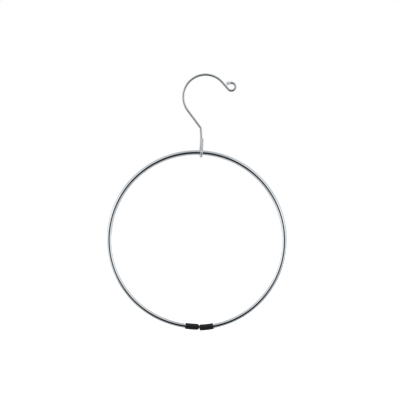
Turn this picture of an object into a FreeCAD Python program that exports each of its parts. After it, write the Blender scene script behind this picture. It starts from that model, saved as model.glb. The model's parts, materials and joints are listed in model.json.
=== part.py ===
"""Ring hanger for scarves: a sprung wire ring, open at the bottom between two rubber tips, on a wire hook.

Millimetres, +Z up, the ring in the XZ plane and its front towards -Y. The origin is the point of the hook's
crown that a rail carries. Angles round the ring run clockwise as seen from the front, in degrees.
"""

import FreeCAD
import Part

import math
import os

from FreeCAD import Vector

# Ring wire
RING_OUTSIDE = 203.2  # outside diameter, 8 in
RING_WIRE = 5.4  # wire diameter
RING_TURN = -1.72  # the ring hangs turned by this, so its gap is a little right of the bottom
FLEX_STATION = 45.0  # from the ring's crown to each place where an arm's spring bend is taken up
RING_CROWN_WIDER = 0.6  # the ring's crown is bent to a radius larger than the true one by this
LEFT_ARM_TIGHTER = 1.1  # the left arm is bent to a radius smaller than the true one by this
END_STATION = 150.0  # from the ring's crown to the start of each arm's end
LEFT_END_FLATTER = 8.2  # the left arm's end is bent to a radius larger than the rest of it by this

# Rubber tips on the ring's ends
TIP_LENGTH = 15.8
TIP_WALL = 0.8
TIP_END_WALL = 2.0
TIP_BORE_CLEARANCE = 0.03  # round the wire
TIP_FLOOR_CLEARANCE = 0.2  # from the wire's end to the bottom of the bore
LEFT_NOSE_ROUND = 3.0
RIGHT_NOSE_ROUND = 1.4
TIP_MOUTH_ROUND = 0.25
TIP_GAP = 0.1  # between the two tips

# Hook wire
HOOK_WIRE = 2.8  # wire diameter
SEAT_RADIUS = 23.82  # inside the crown, where the rail sits
NECK_LEAN = 36.7  # the straight neck, from vertical
NECK_BEND = 4.0  # bend radius on the wire's centre line, from neck to stem
STEM_OFFSET = 5.3  # from the middle of the crown, sideways to the corner of neck and stem
STEM_TOP_LENGTH = 10.86  # from that corner to the slight set half way down the stem
STEM_TOP_LEAN = 2.3  # the stem above the set, from vertical, down to the right
STEM_SET_BEND = 12.0  # bend radius of the set
STEM_FOOT_LENGTH = 10.4  # from the set to the eye's shoulder
STEM_FOOT_LEAN = 2.7  # the stem below the set, from vertical, down to the left, nearly square on the ring
SHANK_SLOPE = 49.0  # the straight run from the crown to the curl, below horizontal
SHANK_LENGTH = 10.5
CURL_RADIUS = 4.46  # on the wire's centre line
CURL_TURN = 237.0
CURL_GAP = 0.3  # from the wire's end to the shank
WIRE_END_ROUND = 0.4

# Eye of the hook, a turn of its wire round the ring
EYE_STATION = 4.58  # from the ring's crown to the eye
EYE_CLEARANCE = 0.5  # between the two wires, with the ring in the middle of the eye
RING_DROP = 0.3  # the ring hangs this far below the middle of the eye
EYE_SHOULDER = 1.8  # bend radius on the wire's centre line, where stem and tail run into the eye
EYE_TAIL = 10.8  # straight end of the wire beside the stem
STRAND_GAP = 0.1  # between stem and tail
STRAND_TURN = 60.0  # the tail lies this far round to the front of the stem, from straight beside it
EYE_SPANS = 8  # biarcs in the turn

ring_radius = (RING_OUTSIDE - RING_WIRE) / 2
ring_crown_radius = ring_radius + RING_CROWN_WIDER
hook_radius = HOOK_WIRE / 2
crown_radius = SEAT_RADIUS + hook_radius
eye_radius = RING_WIRE / 2 + EYE_CLEARANCE + hook_radius
strand_pitch = HOOK_WIRE + STRAND_GAP
side_step = strand_pitch * math.cos(math.radians(STRAND_TURN))
front_step = strand_pitch * math.sin(math.radians(STRAND_TURN))
tip_bore_radius = RING_WIRE / 2 + TIP_BORE_CLEARANCE
tip_radius = tip_bore_radius + TIP_WALL

Y_AXIS = Vector(0, 1, 0)
LEFT = -1
RIGHT = 1
FRONT = -1
BEHIND = 1


def compass(angle):
    """Unit vector in the XZ plane at an angle clockwise from +Z."""
    turn = math.radians(angle)
    return Vector(math.sin(turn), 0, math.cos(turn))


class Strand:
    """Straight wire above the eye, and the shoulder where it runs into the eye's turn."""

    def __init__(self, across, back, side):
        self.across = across
        self.back = back
        self.side = side
        reach = eye_radius + EYE_SHOULDER
        self.opening = math.asin((side * back + EYE_SHOULDER) / reach)
        self.height = reach * math.cos(self.opening)

    def shoulder(self):
        """Ends of the shoulder's arc, on the turn and on the strand, and the corner of its tangents."""
        low = eye_centre + eye_frame(self.across, self.side * math.sin(self.opening) * eye_radius,
                                     math.cos(self.opening) * eye_radius)
        high = eye_centre + eye_frame(self.across, self.back, self.height)
        fall = (high - low).Length ** 2 / (2 * (high - low).dot(stem_up))
        return low, high, high - stem_up * fall


# Key points of the hook's centre line, and the ring's place under its eye
crown_centre = Vector(0, 0, -SEAT_RADIUS)
neck_start = crown_centre + compass(-90 - NECK_LEAN) * crown_radius
neck_length = (-STEM_OFFSET - neck_start.x) / math.sin(math.radians(NECK_LEAN))
neck_corner = neck_start + compass(180 - NECK_LEAN) * neck_length
stem_set = neck_corner + compass(180 - STEM_TOP_LEAN) * STEM_TOP_LENGTH
stem_up = compass(STEM_FOOT_LEAN)
eye_across = compass(90 + STEM_FOOT_LEAN)
stem = Strand(-side_step / 2, 0, BEHIND)
tail = Strand(side_step / 2, -front_step, FRONT)
eye_centre = stem_set - stem_up * (STEM_FOOT_LENGTH + stem.height) - eye_across * stem.across
wire_in_eye = eye_centre - stem_up * RING_DROP
ring_centre = wire_in_eye - compass(RING_TURN + EYE_STATION) * ring_radius
ring_crown_centre = wire_in_eye - compass(RING_TURN + EYE_STATION) * ring_crown_radius


def eye_frame(across, back, up):
    """Vector given along the eye's own directions."""
    return eye_across * across + Y_AXIS * back + stem_up * up


def swing_axis():
    """Direction of the ring's wire where it passes through the eye."""
    return compass(RING_TURN + EYE_STATION + 90)


class Arm:
    """One side of the ring, from the place where it flexes to the end inside its tip."""

    def __init__(self, side):
        self.side = side
        self.start = side * FLEX_STATION
        self.end_start = side * END_STATION
        self.main_radius = ring_radius - LEFT_ARM_TIGHTER if side == LEFT else ring_radius
        self.bend_radius = self.main_radius + LEFT_END_FLATTER if side == LEFT else self.main_radius
        self.root_way = compass(RING_TURN + self.start)
        self.main_centre = ring_crown_centre + self.root_way * (ring_crown_radius - self.main_radius)
        end_way = compass(RING_TURN + self.end_start)
        self.centre = self.main_centre + end_way * (self.main_radius - self.bend_radius)
        offset = (self.centre - ring_centre).dot(compass(RING_TURN + 90))
        reach = math.degrees(math.asin((TIP_GAP / 2 - side * offset) / self.bend_radius))
        self.tip_end = side * (180 - reach)

    def back_from_tip(self, length):
        """Angle at a length along the wire, back from the tip's end."""
        return self.tip_end - self.side * math.degrees(length / self.bend_radius)

    def flex_axis_point(self):
        """Point on the wire's outer skin about which the arm springs open."""
        return ring_crown_centre + self.root_way * (ring_crown_radius + RING_WIRE / 2)

    def bent_rod(self, radius, start, end):
        """Round rod of the arm's end bend between two angles."""
        return bent_rod(self.centre, self.bend_radius, radius, start, end)


def bent_rod(centre, bend_radius, radius, start, end):
    """Round rod bent about a centre, between two angles round the ring."""
    if end < start:
        start, end = end, start
    out = compass(RING_TURN + start)
    along = compass(RING_TURN + start + 90)
    section = Part.Face(Part.Wire(Part.makeCircle(radius, centre + out * bend_radius, along)))
    return section.revolve(centre, Y_AXIS, end - start)


def end_edges(solid, point):
    """Circular edges of a solid whose centre is at a point."""
    return [e for e in solid.Edges if e.Curve.TypeId == "Part::GeomCircle"
            and e.Curve.Center.distanceToPoint(point) < 1e-3]


def make_ring_crown():
    """Top of the ring, which the hook's eye goes round."""
    return bent_rod(ring_crown_centre, ring_crown_radius, RING_WIRE / 2, -FLEX_STATION, FLEX_STATION)


def make_ring_arm(side):
    """Side of the ring, which springs open."""
    arm = Arm(side)
    wire_end = arm.back_from_tip(TIP_END_WALL + TIP_FLOOR_CLEARANCE)
    upper = bent_rod(arm.main_centre, arm.main_radius, RING_WIRE / 2, arm.start, arm.end_start)
    lower = arm.bent_rod(RING_WIRE / 2, arm.end_start, wire_end)
    return upper.fuse(lower).removeSplitter().Solids[0]


def make_tip(side):
    """Rubber tip: a blind sleeve with a rounded nose, pushed over the ring's end."""
    arm = Arm(side)
    mouth = arm.back_from_tip(TIP_LENGTH)
    sleeve = arm.bent_rod(tip_radius, mouth, arm.tip_end)
    bore = arm.bent_rod(tip_bore_radius, mouth, arm.back_from_tip(TIP_END_WALL))
    nose_point = arm.centre + compass(RING_TURN + arm.tip_end) * arm.bend_radius
    mouth_point = arm.centre + compass(RING_TURN + mouth) * arm.bend_radius
    nose_round = LEFT_NOSE_ROUND if side == LEFT else RIGHT_NOSE_ROUND
    sleeve = sleeve.makeFillet(nose_round, end_edges(sleeve, nose_point))
    sleeve = sleeve.makeFillet(TIP_MOUTH_ROUND, end_edges(sleeve, mouth_point))
    return sleeve.cut(bore)


def arc_between(start, end, corner):
    """Arc from start to end whose end tangents meet at the corner."""
    middle = (start + end) * 0.5
    half_chord = (end - start).Length / 2
    rise = corner - middle
    if rise.Length < 1e-6:
        return Part.LineSegment(start, end).toShape()
    half_turn = math.atan2(rise.Length, half_chord)
    top = middle + rise * (half_chord * math.tan(half_turn / 2) / rise.Length)
    return Part.Arc(start, top, end).toShape()


def biarc(start, start_way, end, end_way):
    """Two arcs that leave start and reach end in the given directions."""
    chord = end - start
    ways = start_way + end_way
    spread = 2 * (1 - start_way.dot(end_way))
    pull = chord.dot(ways)
    reach = (math.sqrt(pull**2 + spread * chord.dot(chord)) - pull) / spread
    first_corner = start + start_way * reach
    last_corner = end - end_way * reach
    joint = (first_corner + last_corner) * 0.5
    return [arc_between(start, joint, first_corner), arc_between(joint, end, last_corner)]


def eye_turn():
    """Edges of the turn, from the tail down in front of the ring, under it and up behind it to the stem.

    The turn steps sideways from strand to strand, slowly at its ends, so it runs on smoothly from its
    shoulders.
    """
    sweep = 2 * math.pi - tail.opening - stem.opening
    step = stem.across - tail.across

    def place(share):
        turn = tail.opening + sweep * share
        ease = share - math.sin(2 * math.pi * share) / (2 * math.pi)
        across = tail.across + step * ease
        return eye_centre + eye_frame(across, -math.sin(turn) * eye_radius, math.cos(turn) * eye_radius)

    def way(share):
        turn = tail.opening + sweep * share
        across = step * (1 - math.cos(2 * math.pi * share))
        run = sweep * eye_radius
        return eye_frame(across, -math.cos(turn) * run, -math.sin(turn) * run).normalize()

    edges = []
    for span in range(EYE_SPANS):
        a = span / EYE_SPANS
        b = (span + 1) / EYE_SPANS
        edges += biarc(place(a), way(a), place(b), way(b))
    return edges


def hook_path():
    """Centre line of the hook's wire, from the tail beside the stem to the end of the curl."""
    tail_low, tail_high, tail_corner = tail.shoulder()
    stem_low, stem_high, stem_corner = stem.shoulder()
    tail_end = tail_high + stem_up * EYE_TAIL

    stem_down = compass(180 - STEM_TOP_LEAN)
    set_reach = STEM_SET_BEND * math.tan(math.radians(STEM_TOP_LEAN + STEM_FOOT_LEAN) / 2)
    set_foot = stem_set - stem_up * set_reach
    set_top = stem_set - stem_down * set_reach
    neck_reach = NECK_BEND * math.tan(math.radians(NECK_LEAN - STEM_TOP_LEAN) / 2)
    stem_top = neck_corner + stem_down * neck_reach
    neck_foot = neck_corner - compass(180 - NECK_LEAN) * neck_reach
    crown_top = crown_centre + compass(0) * crown_radius
    shank_start = crown_centre + compass(SHANK_SLOPE) * crown_radius

    shank_way = compass(90 + SHANK_SLOPE)
    shank_end = shank_start + shank_way * SHANK_LENGTH
    curl_centre = shank_end + compass(SHANK_SLOPE) * CURL_RADIUS
    curl_start_angle = 180 + SHANK_SLOPE
    curl_middle = curl_centre + compass(curl_start_angle - CURL_TURN / 2) * CURL_RADIUS
    curl_end_angle = curl_start_angle - CURL_TURN
    curl_end = curl_centre + compass(curl_end_angle) * CURL_RADIUS
    last_way = compass(curl_end_angle - 90)
    run_to_shank = (curl_end - shank_start).dot(compass(SHANK_SLOPE))
    closing = -last_way.dot(compass(SHANK_SLOPE))
    corner_reach = hook_radius * abs(last_way.dot(shank_way))
    last_length = (run_to_shank - hook_radius - CURL_GAP - corner_reach) / closing
    wire_end = curl_end + last_way * last_length

    edges = [Part.LineSegment(tail_end, tail_high).toShape(), arc_between(tail_high, tail_low, tail_corner)]
    edges += eye_turn()
    edges += [
        arc_between(stem_low, stem_high, stem_corner),
        Part.LineSegment(stem_high, set_foot).toShape(),
        arc_between(set_foot, set_top, stem_set),
        Part.LineSegment(set_top, stem_top).toShape(),
        arc_between(stem_top, neck_foot, neck_corner),
        Part.LineSegment(neck_foot, neck_start).toShape(),
        Part.Arc(neck_start, crown_top, shank_start).toShape(),
        Part.LineSegment(shank_start, shank_end).toShape(),
        Part.Arc(shank_end, curl_middle, curl_end).toShape(),
        Part.LineSegment(curl_end, wire_end).toShape(),
    ]
    return Part.Wire(edges), tail_end, wire_end


def make_hook():
    """Hook, bent from one wire, with its cut ends deburred."""
    path, tail_end, wire_end = hook_path()
    section = Part.Wire(Part.makeCircle(hook_radius, tail_end, -stem_up))
    rod = path.makePipeShell([section], True, False)
    ends = end_edges(rod, tail_end) + end_edges(rod, wire_end)
    hook = rod.makeFillet(WIRE_END_ROUND, ends)
    swept = math.pi * hook_radius**2 * path.Length
    print(f"hook wire length {path.Length:.1f}, volume over section times length {rod.Volume / swept:.5f}")
    return hook


def main():
    """Write one STEP file for each piece."""
    pieces = {
        "hook": make_hook(),
        "ring_crown": make_ring_crown(),
        "ring_left_arm": make_ring_arm(LEFT),
        "ring_right_arm": make_ring_arm(RIGHT),
        "left_rubber_tip": make_tip(LEFT),
        "right_rubber_tip": make_tip(RIGHT),
    }
    os.makedirs("parts", exist_ok=True)
    for name, shape in pieces.items():
        shape.exportStep(f"parts/{name}.step")
        print(f"{name}: valid {shape.isValid()}, solids {len(shape.Solids)}, volume {shape.Volume:.2f}")


if __name__ == "__main__":
    main()
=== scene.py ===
"""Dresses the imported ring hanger: a sprung ring with rubber tips, and the wire hook that carries it.

Lengths are in metres and angles in radians where nothing else is said, in the part's own frame: +Z up, the
ring in the XZ plane, its front towards -Y. Angles round the ring run clockwise as seen from the front.
"""

from __future__ import annotations

import json
import logging
import math
from dataclasses import asdict, dataclass, field
from enum import Enum

import bpy
from bpy.types import Material, Node, NodeSocket, NodeTree, Object
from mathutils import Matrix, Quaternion, Vector

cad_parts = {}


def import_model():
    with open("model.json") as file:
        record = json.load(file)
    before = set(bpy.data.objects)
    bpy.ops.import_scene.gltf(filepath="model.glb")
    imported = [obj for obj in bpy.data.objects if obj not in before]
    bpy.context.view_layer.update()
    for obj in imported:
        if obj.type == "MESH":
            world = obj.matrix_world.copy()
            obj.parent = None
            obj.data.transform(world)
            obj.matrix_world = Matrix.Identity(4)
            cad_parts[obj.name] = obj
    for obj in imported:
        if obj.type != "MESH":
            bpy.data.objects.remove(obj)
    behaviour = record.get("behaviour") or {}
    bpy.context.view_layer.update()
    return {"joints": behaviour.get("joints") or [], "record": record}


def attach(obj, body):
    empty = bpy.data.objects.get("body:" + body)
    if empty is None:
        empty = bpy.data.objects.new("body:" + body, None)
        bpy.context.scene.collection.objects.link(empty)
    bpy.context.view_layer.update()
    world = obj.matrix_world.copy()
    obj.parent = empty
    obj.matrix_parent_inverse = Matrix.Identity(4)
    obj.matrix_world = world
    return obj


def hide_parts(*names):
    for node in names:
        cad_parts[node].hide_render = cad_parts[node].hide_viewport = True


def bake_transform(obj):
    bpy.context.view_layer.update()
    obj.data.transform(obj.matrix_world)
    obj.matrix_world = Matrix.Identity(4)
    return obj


LOG = logging.getLogger("ring_hanger")

MM = 0.001
UP = Vector((0.0, 0.0, 1.0))
BACK = Vector((0.0, 1.0, 0.0))

# How far the facets of a bend may lie inside its true curve
CHORD_SAG = 0.01 * MM
# The angle between two faces past which the edge between them looks sharp
SMOOTH_ANGLE = math.radians(35.0)

Colour = tuple[float, float, float]
Span = tuple[float, float]
WHITE: Colour = (1.0, 1.0, 1.0)


class Side(Enum):
    """A side of the ring, as seen from the front."""

    LEFT = -1
    RIGHT = 1

    @property
    def word(self) -> str:
        """The side as the names of bodies, nodes and pieces have it."""
        return self.name.lower()


def compass(angle: float) -> Vector:
    """Returns the unit vector in the hanger's plane at an angle clockwise from up."""
    return Vector((math.sin(angle), 0.0, math.cos(angle)))


# Bent rods


def quarter_round(corner: float, steps: int) -> list[tuple[float, float]]:
    """Divides a quarter of a circle into equal steps.

    Args:
        corner: Radius of the circle.
        steps: Number of steps.

    Returns:
        How far each step's end lies from the start, along the circle's tangent there and off that tangent.
    """
    angles = [math.pi / 2 * step / steps for step in range(1, steps + 1)]
    return [(corner * math.sin(angle), corner * (1 - math.cos(angle))) for angle in angles]


@dataclass
class BentRod:
    """A round rod that grows section by section, as wire does on a bender.

    Attributes:
        name: Name of the piece.
        place: Centre of the leading section.
        heading: Direction in which the leading section grows.
        radius: Radius of the leading section.
        sides: Points round each section.
        run: Length along the rod at each section.
        radii: Radius of each section.
    """

    name: str
    place: Vector
    heading: Vector
    radius: float
    sides: int
    run: list[float] = field(default_factory=list)
    radii: list[float] = field(default_factory=list)

    def start(self) -> None:
        """Adds the first section and opens the rod for editing."""
        bpy.ops.object.select_all(action="DESELECT")
        turn = UP.rotation_difference(self.heading).to_euler()
        bpy.ops.mesh.primitive_circle_add(
            vertices=self.sides, radius=self.radius, fill_type="NOTHING", location=self.place, rotation=turn
        )
        bpy.context.object.name = self.name
        bpy.ops.object.transform_apply(location=True, rotation=True, scale=True)
        bpy.ops.object.mode_set(mode="EDIT")
        bpy.ops.mesh.select_all(action="SELECT")
        self.run.append(0.0)
        self.radii.append(self.radius)

    def extrude(self, length: float) -> None:
        """Adds a section straight on, without noting it.

        Args:
            length: Distance to it along the heading.
        """
        step = self.heading * length
        bpy.ops.mesh.extrude_edges_move(TRANSFORM_OT_translate={"value": step})
        self.place = self.place + step

    def draw(self, radius: float) -> None:
        """Gives the leading section another radius, where it stands.

        Args:
            radius: The new radius.
        """
        share = radius / self.radius
        bpy.ops.transform.resize(value=(share, share, share), center_override=self.place)
        self.radius = radius

    def note(self, length: float) -> None:
        """Notes that a section was added, a length on from the last."""
        self.run.append(self.run[-1] + length)
        self.radii.append(self.radius)

    def feed(self, length: float) -> None:
        """Grows the rod straight on by a length."""
        self.extrude(length)
        self.note(length)

    def draw_to(self, radius: float, ahead: float) -> None:
        """Grows the rod straight on to a section of another radius.

        Args:
            radius: Radius of the new section.
            ahead: Distance to it along the heading.
        """
        slant = math.hypot(ahead, radius - self.radius)
        self.extrude(ahead)
        self.draw(radius)
        self.note(slant)

    def press(self, wide: float, thin: float, ahead: float) -> None:
        """Grows the rod to a section pressed flat from front and back.

        Args:
            wide: Width of the new section against the round one's.
            thin: Thickness of the new section against the round one's.
            ahead: Distance to it along the heading.
        """
        self.feed(ahead)
        bpy.ops.transform.resize(value=(wide, thin, wide), center_override=self.place)

    def bend(self, bend_radius: float, angle: float, toward: Vector, drift: float = 0.0) -> Vector:
        """Grows the rod round a bend.

        Args:
            bend_radius: Radius of the bend at the rod's centre line.
            angle: Angle of the bend.
            toward: Direction from the rod to the bend's centre.
            drift: Distance that the rod moves along the bend's axis, slowly at both ends of the bend.

        Returns:
            The direction to the bend's centre at its end.
        """
        centre = self.place + toward * bend_radius
        axis = self.heading.cross(toward)
        steps = math.ceil(angle / (2 * math.acos(1 - CHORD_SAG / (bend_radius + self.radius))))
        turn = Quaternion(axis, angle / steps)
        moved = 0.0
        for step in range(1, steps + 1):
            bpy.ops.mesh.spin(steps=1, angle=-angle / steps, center=centre, axis=axis)
            share = step / steps
            eased = drift * (share - math.sin(2 * math.pi * share) / (2 * math.pi))
            slip = axis * (eased - moved)
            if drift:
                bpy.ops.transform.translate(value=slip)
            moved = eased
            self.place = centre + turn @ (self.place - centre) + slip
            self.heading = turn @ self.heading
            toward = turn @ toward
            self.note(bend_radius * angle / steps)
        return toward

    def round_off(self, corner: float, steps: int = 5) -> None:
        """Closes in on the rod's end with a rounded edge.

        Args:
            corner: Radius of the rounded edge.
            steps: Sections in the rounding.
        """
        full = self.radius
        reached = 0.0
        for ahead, inward in quarter_round(corner, steps):
            self.draw_to(full - inward, ahead - reached)
            reached = ahead

    def round_off_bent(self, corner: float, steps: int, bend_radius: float, toward: Vector) -> None:
        """Closes in on the rod's end with a rounded edge, while the rod goes round a bend.

        Args:
            corner: Radius of the rounded edge.
            steps: Sections in the rounding.
            bend_radius: Radius of the bend at the rod's centre line.
            toward: Direction from the rod to the bend's centre.
        """
        full = self.radius
        reached = 0.0
        for ahead, inward in quarter_round(corner, steps):
            toward = self.bend(bend_radius, (ahead - reached) / bend_radius, toward)
            self.draw(full - inward)
            self.radii[-1] = self.radius
            reached = ahead

    def round_on(self, corner: float, steps: int = 5) -> None:
        """Opens out from the leading section with a rounded edge.

        Args:
            corner: Radius of the rounded edge.
            steps: Sections in the rounding.
        """
        small = self.radius
        reached = 0.0
        for outward, ahead in quarter_round(corner, steps):
            self.draw_to(small + outward, ahead - reached)
            reached = ahead

    def close(self) -> Object:
        """Closes both ends and keeps, for each point, where it lies on the rod as if that were straight.

        Returns:
            The finished object.
        """
        bpy.ops.mesh.edge_face_add()
        bpy.ops.object.mode_set(mode="OBJECT")
        rod = bpy.context.object
        straight = rod.data.attributes.new("straight", "FLOAT_VECTOR", "POINT")
        for index, item in enumerate(straight.data):
            section, corner = divmod(index, self.sides)
            angle = 2 * math.pi * corner / self.sides
            reach = self.radii[section]
            item.vector = (self.run[section], reach * math.cos(angle), reach * math.sin(angle))
        bpy.ops.object.mode_set(mode="EDIT")
        bpy.ops.mesh.select_all(action="DESELECT")
        bpy.ops.object.mode_set(mode="OBJECT")
        for vertex in rod.data.vertices[: self.sides]:
            vertex.select = True
        bpy.ops.object.mode_set(mode="EDIT")
        bpy.ops.mesh.edge_face_add()
        bpy.ops.mesh.select_all(action="SELECT")
        bpy.ops.mesh.normals_make_consistent(inside=False)
        bpy.ops.object.mode_set(mode="OBJECT")
        bpy.ops.object.shade_smooth_by_angle(angle=SMOOTH_ANGLE)
        return rod


# Shader nodes


def opaque(colour: Colour) -> tuple[float, float, float, float]:
    """Returns a colour as a shader's input takes it, with full alpha."""
    return (*colour, 1.0)


def give(tree: NodeTree, socket: NodeSocket, value: object) -> None:
    """Links an input to another node's output, or sets it.

    Args:
        tree: Tree that the input is in.
        socket: The input.
        value: Output to link, or plain value to set.
    """
    if isinstance(value, NodeSocket):
        tree.links.new(value, socket)
    else:
        socket.default_value = value


def set_inputs(tree: NodeTree, node: Node, **inputs: object) -> None:
    """Links or sets inputs of a node.

    Args:
        tree: Tree that the node is in.
        node: The node.
        inputs: Outputs to link or plain values to set, by the input's name with _ for a space.
    """
    for name, value in inputs.items():
        give(tree, node.inputs[name.replace("_", " ")], value)


def add_node(tree: NodeTree, kind: str, **inputs: object) -> Node:
    """Adds a shader node.

    Args:
        tree: Tree that the node goes into.
        kind: Name of the node's type.
        inputs: Its inputs, as for set_inputs.

    Returns:
        The new node.
    """
    node = tree.nodes.new(kind)
    set_inputs(tree, node, **inputs)
    return node


def use_group(tree: NodeTree, group: NodeTree, **inputs: object) -> Node:
    """Places a shared group in a material's tree.

    Args:
        tree: Tree of the material.
        group: The group.
        inputs: Its inputs, as for set_inputs.

    Returns:
        The new node.
    """
    node = tree.nodes.new("ShaderNodeGroup")
    node.node_tree = group
    set_inputs(tree, node, **inputs)
    return node


def calculate(
    tree: NodeTree, operation: str, first: object, second: object, kind: str = "ShaderNodeMath"
) -> NodeSocket:
    """Adds a node that works out a number.

    Args:
        tree: Tree that the node goes into.
        operation: What it does with its two inputs.
        first: First input, an output to link or a plain value.
        second: Second input, likewise.
        kind: Name of the node's type, for numbers or for vectors.

    Returns:
        The result's socket.
    """
    node = tree.nodes.new(kind)
    node.operation = operation
    for socket, value in zip(node.inputs, (first, second)):
        give(tree, socket, value)
    return node.outputs["Value"]


def plus(tree: NodeTree, base: object, mask: NodeSocket, weight: float) -> NodeSocket:
    """Returns the socket of a base, an output or a plain value, plus a mask times its weight."""
    return calculate(tree, "ADD", base, calculate(tree, "MULTIPLY", mask, weight))


def spread(
    tree: NodeTree, value: NodeSocket, low: float, high: float, to_low: float = 0.0, to_high: float = 1.0
) -> NodeSocket:
    """Adds a smooth range map.

    Args:
        tree: Tree that the node goes into.
        value: Socket to read.
        low: Value that becomes to_low.
        high: Value that becomes to_high.
        to_low: Result at low.
        to_high: Result at high.

    Returns:
        The result's socket.
    """
    ends = {"From_Min": low, "From_Max": high, "To_Min": to_low, "To_Max": to_high}
    node = add_node(tree, "ShaderNodeMapRange", Value=value, **ends)
    node.interpolation_type = "SMOOTHSTEP"
    return node.outputs["Result"]


def mix_colours(
    tree: NodeTree, share: NodeSocket, first: NodeSocket | Colour, second: Colour
) -> NodeSocket:
    """Adds a mix of two colours.

    Args:
        tree: Tree that the node goes into.
        share: Share of the second colour.
        first: First colour, or the output that gives it.
        second: Second colour.

    Returns:
        The result's socket.
    """
    node = tree.nodes.new("ShaderNodeMix")
    node.data_type = "RGBA"
    start = first if isinstance(first, NodeSocket) else opaque(first)
    set_inputs(tree, node, Factor=share, A=start, B=opaque(second))
    return node.outputs["Result"]


def patches(
    tree: NodeTree, place: NodeSocket, scale: float, detail: float, span: Span, roughness: float = 0.5
) -> NodeSocket:
    """Adds soft random patches.

    Args:
        tree: Tree that the nodes go into.
        place: Place on the surface.
        scale: Patches to a unit of place.
        detail: Levels of finer noise in them.
        span: Levels of the noise at which a patch begins and is full.
        roughness: Strength of the finer noise.

    Returns:
        The mask's socket.
    """
    noise = add_node(
        tree, "ShaderNodeTexNoise", Vector=place, Scale=scale, Detail=detail, Roughness=roughness
    )
    return spread(tree, noise.outputs["Fac"], *span)


def dots(
    tree: NodeTree, place: NodeSocket, scale: float, size: Span, share: float, channel: str
) -> NodeSocket:
    """Adds small dots, strewn at random.

    Args:
        tree: Tree that the nodes go into.
        place: Place on the surface.
        scale: Cells to a metre, some of which hold a dot.
        size: Distances from a dot's middle, in cells, at which it begins to fade and is gone.
        share: Share of the cells that hold a dot.
        channel: Channel of the cells' random colours that picks those cells.

    Returns:
        The mask's socket.
    """
    cells = add_node(tree, "ShaderNodeTexVoronoi", Vector=place, Scale=scale)
    every_dot = spread(tree, cells.outputs["Distance"], *size, to_low=1.0, to_high=0.0)
    colour = add_node(tree, "ShaderNodeSeparateColor", Color=cells.outputs["Color"])
    picked = calculate(tree, "GREATER_THAN", colour.outputs[channel], 1.0 - share)
    return calculate(tree, "MULTIPLY", every_dot, picked)


def new_group(name: str, inputs: dict[str, str], outputs: list[str]) -> tuple[NodeTree, Node, Node]:
    """Makes an empty shader group.

    Args:
        name: Name of the group.
        inputs: Socket type of each input, by name.
        outputs: Names of the outputs, which are values.

    Returns:
        The group, its input node and its output node.
    """
    group = bpy.data.node_groups.new(name, "ShaderNodeTree")
    for socket, kind in inputs.items():
        group.interface.new_socket(socket, in_out="INPUT", socket_type=kind)
    for socket in outputs:
        group.interface.new_socket(socket, in_out="OUTPUT", socket_type="NodeSocketFloat")
    return group, group.nodes.new("NodeGroupInput"), group.nodes.new("NodeGroupOutput")


def blank_material(name: str) -> tuple[Material, NodeTree, Node]:
    """Makes a material.

    Args:
        name: Name of the material.

    Returns:
        The material, its tree and its Principled shader.
    """
    material = bpy.data.materials.new(name)
    material.use_nodes = True
    return material, material.node_tree, material.node_tree.nodes["Principled BSDF"]


# Finishes


class SharedMarks:
    """Shader groups that the finishes use."""

    def __init__(self) -> None:
        """Builds each group once."""
        self.wire = self.wire_marks()
        self.rub = self.rub_mark()
        self.skin = self.moulded_skin()

    @staticmethod
    def wire_marks() -> NodeTree:
        """Builds the marks of drawn and plated wire: haze in patches, lines along the wire and small pits.

        Returns:
            The group.
        """
        outputs = ["Haze", "Lines", "Pits"]
        group, start, end = new_group("wire_marks", {"Straight": "NodeSocketVector"}, outputs)
        place = start.outputs["Straight"]
        # Along the wire, and both ways across it
        lines_to_a_metre = (18.0, 1300.0, 1300.0)
        stretch = add_node(group, "ShaderNodeMapping", Vector=place, Scale=lines_to_a_metre)
        in_lines = stretch.outputs["Vector"]
        set_inputs(
            group,
            end,
            Haze=patches(group, place, scale=60.0, detail=3.0, span=(0.35, 0.7)),
            Lines=patches(group, in_lines, scale=1.0, detail=4.0, span=(0.3, 0.7), roughness=0.65),
            Pits=dots(group, place, scale=520.0, size=(0.05, 0.2), share=0.1, channel="Red"),
        )
        return group

    @staticmethod
    def rub_mark() -> NodeTree:
        """Builds the dulled patch where wire rubs on something.

        Returns:
            The group.
        """
        inputs = {"Position": "NodeSocketVector", "Centre": "NodeSocketVector", "Reach": "NodeSocketFloat"}
        group, start, end = new_group("rub_mark", inputs, ["Mask"])
        place = start.outputs["Position"]
        away = calculate(group, "DISTANCE", place, start.outputs["Centre"], "ShaderNodeVectorMath")
        share = calculate(group, "DIVIDE", away, start.outputs["Reach"])
        patch = spread(group, share, low=0.25, high=1.0, to_low=1.0, to_high=0.0)
        scuffs = patches(group, place, scale=900.0, detail=4.0, span=(0.35, 0.65))
        set_inputs(group, end, Mask=calculate(group, "MULTIPLY", patch, scuffs))
        return group

    @staticmethod
    def moulded_skin() -> NodeTree:
        """Builds the skin of moulded rubber: soft mottling, fine grain and specks of dust.

        Returns:
            The group.
        """
        outputs = ["Mottle", "Grain", "Specks"]
        group, start, end = new_group("moulded_skin", {"Position": "NodeSocketVector"}, outputs)
        place = start.outputs["Position"]
        grain = add_node(group, "ShaderNodeTexNoise", Vector=place, Scale=5200.0, Detail=2.0)
        set_inputs(
            group,
            end,
            Mottle=patches(group, place, scale=650.0, detail=3.0, span=(0.35, 0.68)),
            Grain=grain.outputs["Fac"],
            Specks=dots(group, place, scale=1500.0, size=(0.08, 0.22), share=0.07, channel="Green"),
        )
        return group


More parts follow.
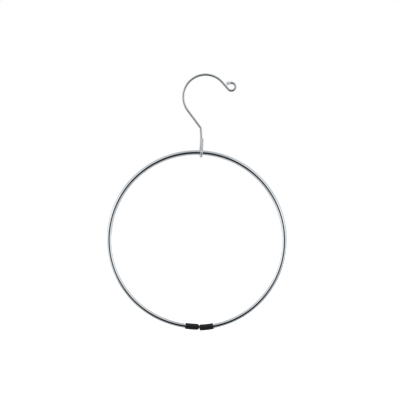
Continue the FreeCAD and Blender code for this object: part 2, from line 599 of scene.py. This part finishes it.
@dataclass(frozen=True)
class MarkWeights:
    """How much each mark on plated wire counts.

    Attributes:
        haze: Weight of the haze.
        lines: Weight of the lines along the wire.
        rubbed: Weight of the rubbed patch.
        pits: Weight of the pits.
    """

    haze: float
    lines: float
    rubbed: float
    pits: float

    def add_up(self, tree: NodeTree, clean: float, masks: dict[str, NodeSocket]) -> NodeSocket:
        """Adds the marks to the value of the clean wire.

        Args:
            tree: Tree of the material.
            clean: Value where the wire has no marks.
            masks: Mask of each mark, by the name of its weight.

        Returns:
            The result's socket.
        """
        total = clean
        for name, weight in asdict(self).items():
            total = plus(tree, total, masks[name], weight)
        return total


@dataclass(frozen=True)
class BrightPlate:
    """Bright plating on drawn steel wire.

    Attributes:
        name: Name of the material.
        rub_centre: Where the wire is rubbed dull.
        rub_reach: How far from there the rubbing shows.
        pressed_from: Length along the wire from which it is pressed flat and matt, or none.
        clean: Colour of the clean plating.
        dull: Colour where it is hazy, rubbed or pitted.
        dulling: Share of the dull colour that each mark brings.
        polish: Roughness of the clean plating.
        roughening: Roughness that each mark adds.
        press_run: Length over which the pressed end turns matt.
        pressed_roughness: Roughness that the pressing adds.
        pressed_metallic: How metallic the pressed end is.
        pit_depth: Depth of the pits against the height of the lines.
        relief: Strength of the lines and pits in the surface.
        line_height: Height of the lines.
    """

    name: str
    rub_centre: Vector
    rub_reach: float
    pressed_from: float | None = None
    clean: Colour = (0.735, 0.765, 0.79)
    dull: Colour = (0.45, 0.47, 0.49)
    dulling: MarkWeights = MarkWeights(haze=0.14, lines=0.1, rubbed=0.35, pits=0.5)
    polish: float = 0.07
    roughening: MarkWeights = MarkWeights(haze=0.05, lines=0.05, rubbed=0.16, pits=0.3)
    press_run: float = 1.0 * MM
    pressed_roughness: float = 0.4
    pressed_metallic: float = 0.15
    pit_depth: float = 2.0
    relief: float = 0.12
    line_height: float = 0.02 * MM

    def material(self, marks: SharedMarks) -> Material:
        """Builds the material.

        Args:
            marks: The shared groups.

        Returns:
            The material.
        """
        material, tree, shader = blank_material(self.name)
        attribute = add_node(tree, "ShaderNodeAttribute")
        attribute.attribute_name = "straight"
        straight = attribute.outputs["Vector"]
        place = add_node(tree, "ShaderNodeTexCoord").outputs["Object"]
        wire = use_group(tree, marks.wire, Straight=straight)
        rub = use_group(tree, marks.rub, Position=place, Centre=self.rub_centre, Reach=self.rub_reach)
        lines = wire.outputs["Lines"]
        pits = wire.outputs["Pits"]
        masks = {"haze": wire.outputs["Haze"], "lines": lines, "rubbed": rub.outputs["Mask"], "pits": pits}

        dulled = self.dulling.add_up(tree, 0.0, masks)
        rough = self.roughening.add_up(tree, self.polish, masks)
        metallic = 1.0
        if self.pressed_from is not None:
            along = add_node(tree, "ShaderNodeSeparateXYZ", Vector=straight).outputs["X"]
            pressed = spread(tree, along, self.pressed_from, self.pressed_from + self.press_run)
            rough = plus(tree, rough, pressed, self.pressed_roughness)
            metallic = spread(tree, pressed, 0.0, 1.0, to_low=1.0, to_high=self.pressed_metallic)

        height = plus(tree, lines, pits, -self.pit_depth)
        bump = add_node(
            tree, "ShaderNodeBump", Strength=self.relief, Distance=self.line_height, Height=height
        )
        set_inputs(
            tree,
            shader,
            Base_Color=mix_colours(tree, dulled, self.clean, self.dull),
            Metallic=metallic,
            Roughness=rough,
            Normal=bump.outputs["Normal"],
        )
        return material


@dataclass(frozen=True)
class BlackRubber:
    """Black moulded rubber with a satin skin.

    Attributes:
        name: Name of the material.
        dark: Colour of most of the skin.
        bloom: Colour of its paler patches.
        dust: Colour of the specks on it.
        dust_cover: How fully a speck covers the skin.
        satin: Roughness of the smoother patches.
        mottle_roughness: Roughness that the paler patches add.
        specular: Strength of its reflections.
        mottle_height: Height of the paler patches against that of the grain.
        relief: Strength of both in the surface.
        grain_height: Height of the grain.
    """

    name: str
    dark: Colour = (0.006, 0.006, 0.0065)
    bloom: Colour = (0.013, 0.013, 0.014)
    dust: Colour = (0.16, 0.16, 0.16)
    dust_cover: float = 0.5
    satin: float = 0.42
    mottle_roughness: float = 0.2
    specular: float = 0.3
    mottle_height: float = 1.5
    relief: float = 0.35
    grain_height: float = 0.04 * MM

    def material(self, marks: SharedMarks) -> Material:
        """Builds the material.

        Args:
            marks: The shared groups.

        Returns:
            The material.
        """
        material, tree, shader = blank_material(self.name)
        place = add_node(tree, "ShaderNodeTexCoord").outputs["Object"]
        skin = use_group(tree, marks.skin, Position=place)
        mottle = skin.outputs["Mottle"]
        patched = mix_colours(tree, mottle, self.dark, self.bloom)
        dusty = calculate(tree, "MULTIPLY", skin.outputs["Specks"], self.dust_cover)
        height = plus(tree, skin.outputs["Grain"], mottle, self.mottle_height)
        bump = add_node(
            tree, "ShaderNodeBump", Strength=self.relief, Distance=self.grain_height, Height=height
        )
        set_inputs(
            tree,
            shader,
            Base_Color=mix_colours(tree, dusty, patched, self.dust),
            Roughness=plus(tree, self.satin, mottle, self.mottle_roughness),
            Specular_IOR_Level=self.specular,
            Normal=bump.outputs["Normal"],
        )
        return material


# The ring


@dataclass(frozen=True)
class ArmLine:
    """Centre line of one arm of the ring.

    Attributes:
        main_radius: Radius of the arm's main bend.
        centre: Centre of the bend of its end.
        bend_radius: Radius of the bend of its end.
        tip_end: Angle round the ring, away from its crown, at the end of the arm's rubber tip.
    """

    main_radius: float
    centre: Vector
    bend_radius: float
    tip_end: float

    def back_from_tip(self, length: float) -> float:
        """Returns the angle at a length along the wire, back from the tip's end."""
        return self.tip_end - length / self.bend_radius


@dataclass
class RingWire:
    """The sprung ring: one wire, shown as two halves that meet inside the hook's eye.

    Attributes:
        centre: Centre of the ring.
        wire: Diameter of the wire.
        outside: Outside diameter of the ring.
        turn: Angle by which the ring hangs turned.
        eye_station: Angle from the ring's crown to the hook's eye.
        flex_station: Angle from the crown to the start of each arm.
        end_station: Angle from the crown to the start of each arm's end.
        crown_wider: How much larger than the true radius the crown's bend is.
        left_tighter: How much smaller than the true radius the left arm's bend is.
        left_end_flatter: How much larger than the rest of the arm's the radius of the left arm's end is.
        bend_reach: Angle from the crown by which an opened arm has taken its whole turn; not used.
        tip_gap: Gap between the two rubber tips.
        end_round: Rounding of the wire's ends inside the tips.
        sides: Points round the wire.
    """

    centre: Vector
    wire: float = 5.4 * MM
    outside: float = 203.2 * MM
    turn: float = math.radians(-1.72)
    eye_station: float = math.radians(4.58)
    flex_station: float = math.radians(45.0)
    end_station: float = math.radians(150.0)
    crown_wider: float = 0.6 * MM
    left_tighter: float = 1.1 * MM
    left_end_flatter: float = 8.2 * MM
    bend_reach: float = math.radians(95.0)
    tip_gap: float = 0.015 * MM
    end_round: float = 0.3 * MM
    sides: int = 40

    @property
    def true_radius(self) -> float:
        """Radius of a true ring at the wire's centre line."""
        return (self.outside - self.wire) / 2

    @property
    def crown_radius(self) -> float:
        """Radius of the crown's bend at the wire's centre line."""
        return self.true_radius + self.crown_wider

    @property
    def crown_centre(self) -> Vector:
        """Centre of the crown's bend."""
        return self.centre - compass(self.turn + self.eye_station) * self.crown_wider

    def point(self, angle: float) -> Vector:
        """Returns the point on the crown's bend at an angle from the ring's crown."""
        return self.crown_centre + compass(self.turn + angle) * self.crown_radius

    def arm(self, side: Side) -> ArmLine:
        """Works out an arm's centre line.

        Args:
            side: Side of the arm.

        Returns:
            The centre line.
        """
        main_radius = self.true_radius - self.left_tighter if side is Side.LEFT else self.true_radius
        bend_radius = main_radius + self.left_end_flatter if side is Side.LEFT else main_radius
        root = compass(self.turn + side.value * self.flex_station)
        end = compass(self.turn + side.value * self.end_station)
        main_centre = self.crown_centre + root * (self.crown_radius - main_radius)
        centre = main_centre + end * (main_radius - bend_radius)
        offset = (centre - self.centre).dot(compass(self.turn + math.pi / 2))
        reach = math.asin((self.tip_gap / 2 - side.value * offset) / bend_radius)
        return ArmLine(main_radius, centre, bend_radius, math.pi - reach)

    def build(self, side: Side, arm: ArmLine, end: float) -> Object:
        """Builds one half, from inside the eye to its end inside the rubber tip.

        Args:
            side: Side of the half.
            arm: Centre line of that side's arm.
            end: Angle from the crown at which the wire ends.

        Returns:
            The half.
        """
        out = compass(self.turn + self.eye_station)
        along = compass(self.turn + self.eye_station + side.value * math.pi / 2)
        name = f"ring_{side.word}_half"
        rod = BentRod(name, self.point(self.eye_station), along, self.wire / 2, self.sides)
        rod.start()
        toward = rod.bend(self.crown_radius, self.flex_station - side.value * self.eye_station, -out)
        toward = rod.bend(arm.main_radius, self.end_station - self.flex_station, toward)
        rod.bend(arm.bend_radius, end - self.end_station - self.end_round / arm.bend_radius, toward)
        rod.round_off(self.end_round)
        return rod.close()

    def dress(self, half: Object, side: Side, material: Material) -> None:
        """Gives a half its finish, and hides the plain crown and arm that the halves replace.

        Args:
            half: The half.
            side: Its side.
            material: Its finish.
        """
        half.data.materials.append(material)
        arm_name = f"{side.word}_arm"
        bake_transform(half)
        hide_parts(f"ring_{arm_name}", "ring_crown")


# The rubber tips


@dataclass
class RubberTip:
    """A rubber tip: a blind sleeve, curved with the wire's end that it is pushed over.

    Attributes:
        side: Side of the ring that it closes.
        nose_round: Rounding of its nose.
        length: Length along the wire.
        wall: Thickness of the sleeve.
        end_wall: Thickness of the nose.
        bore_clearance: Clearance round the wire.
        floor_clearance: Clearance at the wire's end.
        mouth_round: Rounding of the mouth's edge.
        nose_steps: Sections in the rounding of the nose.
        sides: Points round the sleeve.
    """

    side: Side
    nose_round: float
    length: float = 15.8 * MM
    wall: float = 0.8 * MM
    end_wall: float = 2.0 * MM
    bore_clearance: float = 0.03 * MM
    floor_clearance: float = 0.2 * MM
    mouth_round: float = 0.25 * MM
    nose_steps: int = 10
    sides: int = 48

    def wire_end(self, arm: ArmLine) -> float:
        """Returns the angle round the ring at which the wire ends, just short of the bore's floor."""
        return arm.back_from_tip(self.end_wall + self.floor_clearance)

    def build(self, ring: RingWire, arm: ArmLine) -> Object:
        """Builds the tip from the floor of its bore, out of the mouth and along the outside to the nose.

        Args:
            ring: The ring that it sits on.
            arm: Centre line of its arm.

        Returns:
            The tip.
        """
        sign = self.side.value
        floor = arm.back_from_tip(self.end_wall)
        mouth = arm.back_from_tip(self.length)
        bore = ring.wire / 2 + self.bore_clearance
        outside = bore + self.wall
        out = compass(ring.turn + sign * floor)
        back = compass(ring.turn + sign * floor - sign * math.pi / 2)
        name = f"{self.side.word}_tip_sleeve"
        rod = BentRod(name, arm.centre + out * arm.bend_radius, back, bore, self.sides)
        rod.start()
        toward = rod.bend(arm.bend_radius, floor - mouth, -out)
        rod.draw_to(outside - self.mouth_round, 0.0)
        rod.heading = -rod.heading
        rod.round_on(self.mouth_round)
        covered = (self.mouth_round + self.nose_round) / arm.bend_radius
        toward = rod.bend(arm.bend_radius, arm.tip_end - mouth - covered, toward)
        rod.round_off_bent(self.nose_round, self.nose_steps, arm.bend_radius, toward)
        return rod.close()

    def dress(self, tip: Object, material: Material) -> None:
        """Gives the tip its finish and fixes it to its arm.

        Args:
            tip: The tip.
            material: Its finish.
        """
        tip.data.materials.append(material)
        side_name = self.side.word
        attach(tip, f"{side_name}_arm")
        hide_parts(f"{side_name}_rubber_tip")


# The hook


@dataclass
class HookWire:
    """The hook: one wire, from its tail beside the stem, round the ring, over the crown and into the curl.

    Attributes:
        wire_in_eye: Middle of the ring's wire inside the eye.
        seat_radius: Radius inside the crown.
        ring_wire: Diameter of the ring's wire.
        wire: Diameter of the hook's wire.
        tail: Straight length of the tail.
        strand_gap: Gap between stem and tail.
        strand_turn: Angle by which the tail lies round to the front of the stem, from straight beside it.
        eye_clearance: Gap between the eye and the ring's wire, with that wire in the eye's middle.
        ring_drop: How far the ring's wire hangs below the eye's middle.
        eye_shoulder: Bend radius from eye to stem and from eye to tail.
        foot: Length of the stem below its set.
        foot_lean: Lean of that length from vertical, down to the left.
        set_bend: Bend radius of the set.
        stem: Length of the stem above its set, to its corner with the neck.
        stem_lean: Lean of that length from vertical, down to the right.
        neck_lean: Lean of the neck from vertical.
        neck_bend: Bend radius between stem and neck.
        corner_offset: Distance of that corner from the crown's middle, sideways.
        shank_slope: Slope of the shank below horizontal.
        shank: Length of the shank.
        curl_radius: Bend radius of the curl.
        curl_turn: Angle of the curl.
        curl_gap: Gap from the wire's end to the shank.
        pressed_wide: Width of the wire's pressed end against the wire's.
        pressed_thin: Thickness of the wire's pressed end against the wire's.
        press_run: Length over which the wire goes flat.
        end_round: Rounding of the wire's cut ends.
        sides: Points round the wire.
        pressed_from: Length along the wire from which it is pressed, known once it is built.
    """

    wire_in_eye: Vector
    seat_radius: float
    ring_wire: float
    wire: float = 2.8 * MM
    tail: float = 10.8 * MM
    strand_gap: float = 0.1 * MM
    strand_turn: float = math.radians(60.0)
    eye_clearance: float = 0.5 * MM
    ring_drop: float = 0.3 * MM
    eye_shoulder: float = 1.8 * MM
    foot: float = 10.4 * MM
    foot_lean: float = math.radians(2.7)
    set_bend: float = 12.0 * MM
    stem: float = 10.86 * MM
    stem_lean: float = math.radians(2.3)
    neck_lean: float = math.radians(36.7)
    neck_bend: float = 4.0 * MM
    corner_offset: float = 5.3 * MM
    shank_slope: float = math.radians(49.0)
    shank: float = 10.5 * MM
    curl_radius: float = 4.46 * MM
    curl_turn: float = math.radians(237.0)
    curl_gap: float = 0.3 * MM
    pressed_wide: float = 1.3
    pressed_thin: float = 0.65
    press_run: float = 0.9 * MM
    end_round: float = 0.4 * MM
    sides: int = 28
    pressed_from: float = 0.0

    def last_run(self) -> float:
        """Works out the straight length from the curl to the wire's end, which stops short of the shank.

        Returns:
            The length.
        """
        closing = -math.cos(self.curl_turn)
        across = self.curl_radius * (1 - math.cos(self.curl_turn))
        leaving = math.sin(self.curl_turn - math.pi)
        corner = self.pressed_wide * self.wire / 2 * closing
        return (across - self.wire / 2 - self.curl_gap - corner) / leaving

    def build(self) -> Object:
        """Builds the hook.

        Returns:
            The hook.
        """
        radius = self.wire / 2
        pitch = self.wire + self.strand_gap
        side_step = pitch * math.cos(self.strand_turn)
        front_step = pitch * math.sin(self.strand_turn)
        eye_radius = self.ring_wire / 2 + self.eye_clearance + radius
        reach = eye_radius + self.eye_shoulder
        tail_opening = math.asin((front_step + self.eye_shoulder) / reach)
        stem_opening = math.asin(self.eye_shoulder / reach)
        up = compass(self.foot_lean)
        across = compass(self.foot_lean + math.pi / 2)
        tail_height = reach * math.cos(tail_opening) + self.tail
        eye_centre = self.wire_in_eye + up * self.ring_drop
        tail_end = eye_centre + across * (side_step / 2) - BACK * front_step + up * tail_height

        set_turn = self.foot_lean + self.stem_lean
        set_reach = self.set_bend * math.tan(set_turn / 2)
        corner_turn = self.neck_lean - self.stem_lean
        corner_reach = self.neck_bend * math.tan(corner_turn / 2)
        crown_radius = self.seat_radius + radius
        crown_side = crown_radius * math.cos(self.neck_lean)
        neck = (crown_side - self.corner_offset) / math.sin(self.neck_lean)

        rod = BentRod("hook_wire", tail_end, -up, radius - self.end_round, self.sides)
        rod.start()
        rod.round_on(self.end_round)
        rod.feed(self.tail - self.end_round)
        toward = rod.bend(self.eye_shoulder, math.pi / 2 - tail_opening, -BACK)
        toward = rod.bend(eye_radius, 2 * math.pi - tail_opening - stem_opening, -toward, drift=-side_step)
        rod.bend(self.eye_shoulder, math.pi / 2 - stem_opening, -toward)
        rod.feed(self.foot - set_reach)
        toward = rod.bend(self.set_bend, set_turn, -across)
        rod.feed(self.stem - set_reach - corner_reach)
        toward = rod.bend(self.neck_bend, corner_turn, toward)
        rod.feed(neck - corner_reach)
        toward = rod.bend(crown_radius, math.pi / 2 + self.neck_lean + self.shank_slope, -toward)
        rod.feed(self.shank)
        rod.bend(self.curl_radius, self.curl_turn, -toward)
        self.pressed_from = rod.run[-1]
        rod.press(self.pressed_wide, self.pressed_thin, self.press_run)
        rod.feed(self.last_run() - self.press_run - self.end_round)
        rod.round_off(self.end_round)
        return rod.close()

    @staticmethod
    def dress(hook: Object, material: Material) -> None:
        """Gives the hook its finish and fixes it to its body.

        Args:
            hook: The hook.
            material: Its finish.
        """
        hook.data.materials.append(material)
        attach(hook, "hook")
        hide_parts("hook")


# The studio


@dataclass(frozen=True)
class Zone:
    """A part of the studio, darker or brighter than the rest of it, that the bright wire mirrors.

    Its angles are in degrees.

    Attributes:
        bearing: Angle of its middle from straight in front, to the right.
        slope: Angle of its middle below the horizon.
        reach: Half angle that it takes up.
        edge: Angle by which its edge is soft, each way.
        level: Brightness inside it, against the rest.
    """

    bearing: float
    slope: float
    reach: float
    edge: float
    level: float

    def share(self, tree: NodeTree, direction: NodeSocket) -> NodeSocket:
        """Works out the light from each direction.

        Args:
            tree: Tree of the surround.
            direction: Direction looked in.

        Returns:
            Its share of the light elsewhere, 1 outside the zone.
        """
        bearing = math.radians(self.bearing)
        slope = math.radians(self.slope)
        reach = math.radians(self.reach)
        edge = math.radians(self.edge)
        flat = math.cos(slope)
        middle = (flat * math.sin(bearing), -flat * math.cos(bearing), -math.sin(slope))
        facing = calculate(tree, "DOT_PRODUCT", direction, middle, "ShaderNodeVectorMath")
        outer = math.cos(reach + edge)
        inner = math.cos(reach - edge)
        return spread(tree, facing, outer, inner, to_low=1.0, to_high=self.level)


@dataclass
class Studio:
    """Surround with brighter and darker zones, a pale floor, one soft lamp and the camera.

    Attributes:
        aim: Point of the hanger's plane in the middle of the picture.
        picture: Width of the picture at the hanger.
        lens: Focal length of the camera, in millimetres.
        sensor: Width of the camera's sensor, in millimetres.
        floor_height: Height of the floor.
        floor_size: Length of each side of the floor.
        floor_colour: Colour of the floor.
        floor_roughness: Roughness of the floor.
        floor_lift: Brightness that the floor gains where the camera sees it.
        lamp_place: Middle of the lamp.
        lamp_size: Diameter of the lamp.
        lamp_power: Power of the lamp, in watts.
        dark_tint: Colour of the light from the darkest parts of the surround.
        tint_end: Brightness at which the surround's light has no tint left.
        rest: Brightness of the surround outside its zones.
        zones: The dark front and the dark below it, a soft box high in front on each side, one lower down
            to each side, and the white back with a dark patch low in its middle.
    """

    aim: Vector = field(default_factory=lambda: Vector((-6.2 * MM, 0.0, -140.3 * MM)))
    picture: float = 452.2 * MM
    lens: float = 250.0
    sensor: float = 36.0
    floor_height: float = -0.42
    floor_size: float = 40.0
    floor_colour: Colour = (0.8, 0.8, 0.8)
    floor_roughness: float = 0.9
    floor_lift: float = 0.6
    lamp_place: Vector = field(default_factory=lambda: Vector((-0.25, -0.35, 0.75)))
    lamp_size: float = 0.9
    lamp_power: float = 3.0
    dark_tint: Colour = (0.72, 0.87, 1.0)
    tint_end: float = 0.5
    rest: float = 0.66
    zones: tuple[Zone, ...] = (
        Zone(bearing=-4.0, slope=0.0, reach=25.0, edge=9.0, level=0.04),
        Zone(bearing=0.0, slope=34.0, reach=32.0, edge=10.0, level=0.05),
        Zone(bearing=-35.0, slope=-25.0, reach=20.0, edge=8.0, level=1.85),
        Zone(bearing=35.0, slope=-24.0, reach=20.0, edge=8.0, level=1.85),
        Zone(bearing=-75.0, slope=-2.0, reach=27.0, edge=8.0, level=1.85),
        Zone(bearing=65.0, slope=-3.0, reach=17.0, edge=8.0, level=1.8),
        Zone(bearing=180.0, slope=0.0, reach=66.0, edge=14.0, level=1.5),
        Zone(bearing=180.0, slope=22.0, reach=24.0, edge=10.0, level=0.06),
    )

    def camera(self) -> None:
        """Puts the camera straight in front."""
        data = bpy.data.cameras.new("camera")
        data.lens = self.lens
        data.sensor_width = self.sensor
        distance = self.picture * self.lens / self.sensor
        camera = bpy.data.objects.new("camera", data)
        camera.location = self.aim - BACK * distance
        camera.rotation_euler = (math.pi / 2, 0.0, 0.0)
        bpy.context.scene.collection.objects.link(camera)
        bpy.context.scene.camera = camera

    def surround(self) -> None:
        """Lights the scene from all round, and shows plain white behind the hanger."""
        world = bpy.data.worlds.new("surround")
        world.use_nodes = True
        bpy.context.scene.world = world
        tree = world.node_tree
        direction = add_node(tree, "ShaderNodeTexCoord").outputs["Generated"]
        level = self.rest
        for zone in self.zones:
            level = calculate(tree, "MULTIPLY", zone.share(tree, direction), level)
        seen = add_node(tree, "ShaderNodeLightPath").outputs["Is Camera Ray"]
        strength = calculate(tree, "MAXIMUM", level, seen)
        untinted = spread(tree, strength, 0.0, self.tint_end)
        colour = mix_colours(tree, untinted, self.dark_tint, WHITE)
        set_inputs(tree, tree.nodes["Background"], Color=colour, Strength=strength)

    def floor(self) -> None:
        """Lays the floor, which takes the hanger's shadow and is otherwise as white as the surround."""
        bpy.ops.object.select_all(action="DESELECT")
        bpy.ops.mesh.primitive_plane_add(size=self.floor_size, location=(0.0, 0.0, self.floor_height))
        floor = bpy.context.object
        floor.name = "floor"
        floor.visible_glossy = False
        material, tree, shader = blank_material("pale_floor")
        seen = add_node(tree, "ShaderNodeLightPath").outputs["Is Camera Ray"]
        set_inputs(
            tree,
            shader,
            Base_Color=opaque(self.floor_colour),
            Roughness=self.floor_roughness,
            Emission_Color=opaque(WHITE),
            Emission_Strength=calculate(tree, "MULTIPLY", seen, self.floor_lift),
        )
        floor.data.materials.append(material)

    def lamp(self) -> None:
        """Hangs one wide lamp above the hanger, for the shadow on the floor."""
        data = bpy.data.lights.new("overhead_lamp", "AREA")
        data.shape = "DISK"
        data.size = self.lamp_size
        data.energy = self.lamp_power
        lamp = bpy.data.objects.new("overhead_lamp", data)
        lamp.location = self.lamp_place
        lamp.rotation_euler = (self.aim - self.lamp_place).to_track_quat("-Z", "Y").to_euler()
        lamp.visible_glossy = False
        bpy.context.scene.collection.objects.link(lamp)

    def build(self) -> None:
        """Builds the studio."""
        self.camera()
        self.surround()
        self.floor()
        self.lamp()
        bpy.context.scene.view_settings.view_transform = "Standard"


def report(piece: Object) -> None:
    """Logs a finished piece."""
    LOG.info("%s: %d faces", piece.name, len(piece.data.polygons))


def main() -> None:
    """Builds the hanger's pieces in order, then the studio."""
    logging.basicConfig(level=logging.INFO, format="%(name)s: %(message)s")
    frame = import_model()
    joints = {joint["name"]: joint for joint in frame["joints"]}
    mounts = {mount["name"]: mount for mount in frame["record"]["mounts"]}
    wire_in_eye = Vector(joints["ring_swing"]["pos_m"])
    seat = Vector(mounts["rail_seat"]["pos_m"])
    seat_radius = mounts["rail_seat"]["dims"]["r_mm"] * MM

    marks = SharedMarks()
    ring_plate = BrightPlate("ring_plate", rub_centre=wire_in_eye, rub_reach=9.0 * MM).material(marks)
    rubber = BlackRubber("tip_rubber").material(marks)

    ring = RingWire(Vector(mounts["scarf_ring"]["pos_m"]))
    left_tip = RubberTip(Side.LEFT, nose_round=3.0 * MM)
    right_tip = RubberTip(Side.RIGHT, nose_round=1.4 * MM)
    for tip in (left_tip, right_tip):
        arm = ring.arm(tip.side)
        half = ring.build(tip.side, arm, tip.wire_end(arm))
        ring.dress(half, tip.side, ring_plate)
        report(half)
        sleeve = tip.build(ring, arm)
        tip.dress(sleeve, rubber)
        report(sleeve)

    hook = HookWire(wire_in_eye, seat_radius, ring.wire)
    hook_piece = hook.build()
    hook_plate = BrightPlate(
        "hook_plate",
        rub_centre=seat,
        rub_reach=12.0 * MM,
        pressed_from=hook.pressed_from,
        clean=(0.615, 0.64, 0.66),
    )
    hook.dress(hook_piece, hook_plate.material(marks))
    report(hook_piece)

    Studio().build()


if __name__ == "__main__":
    main()
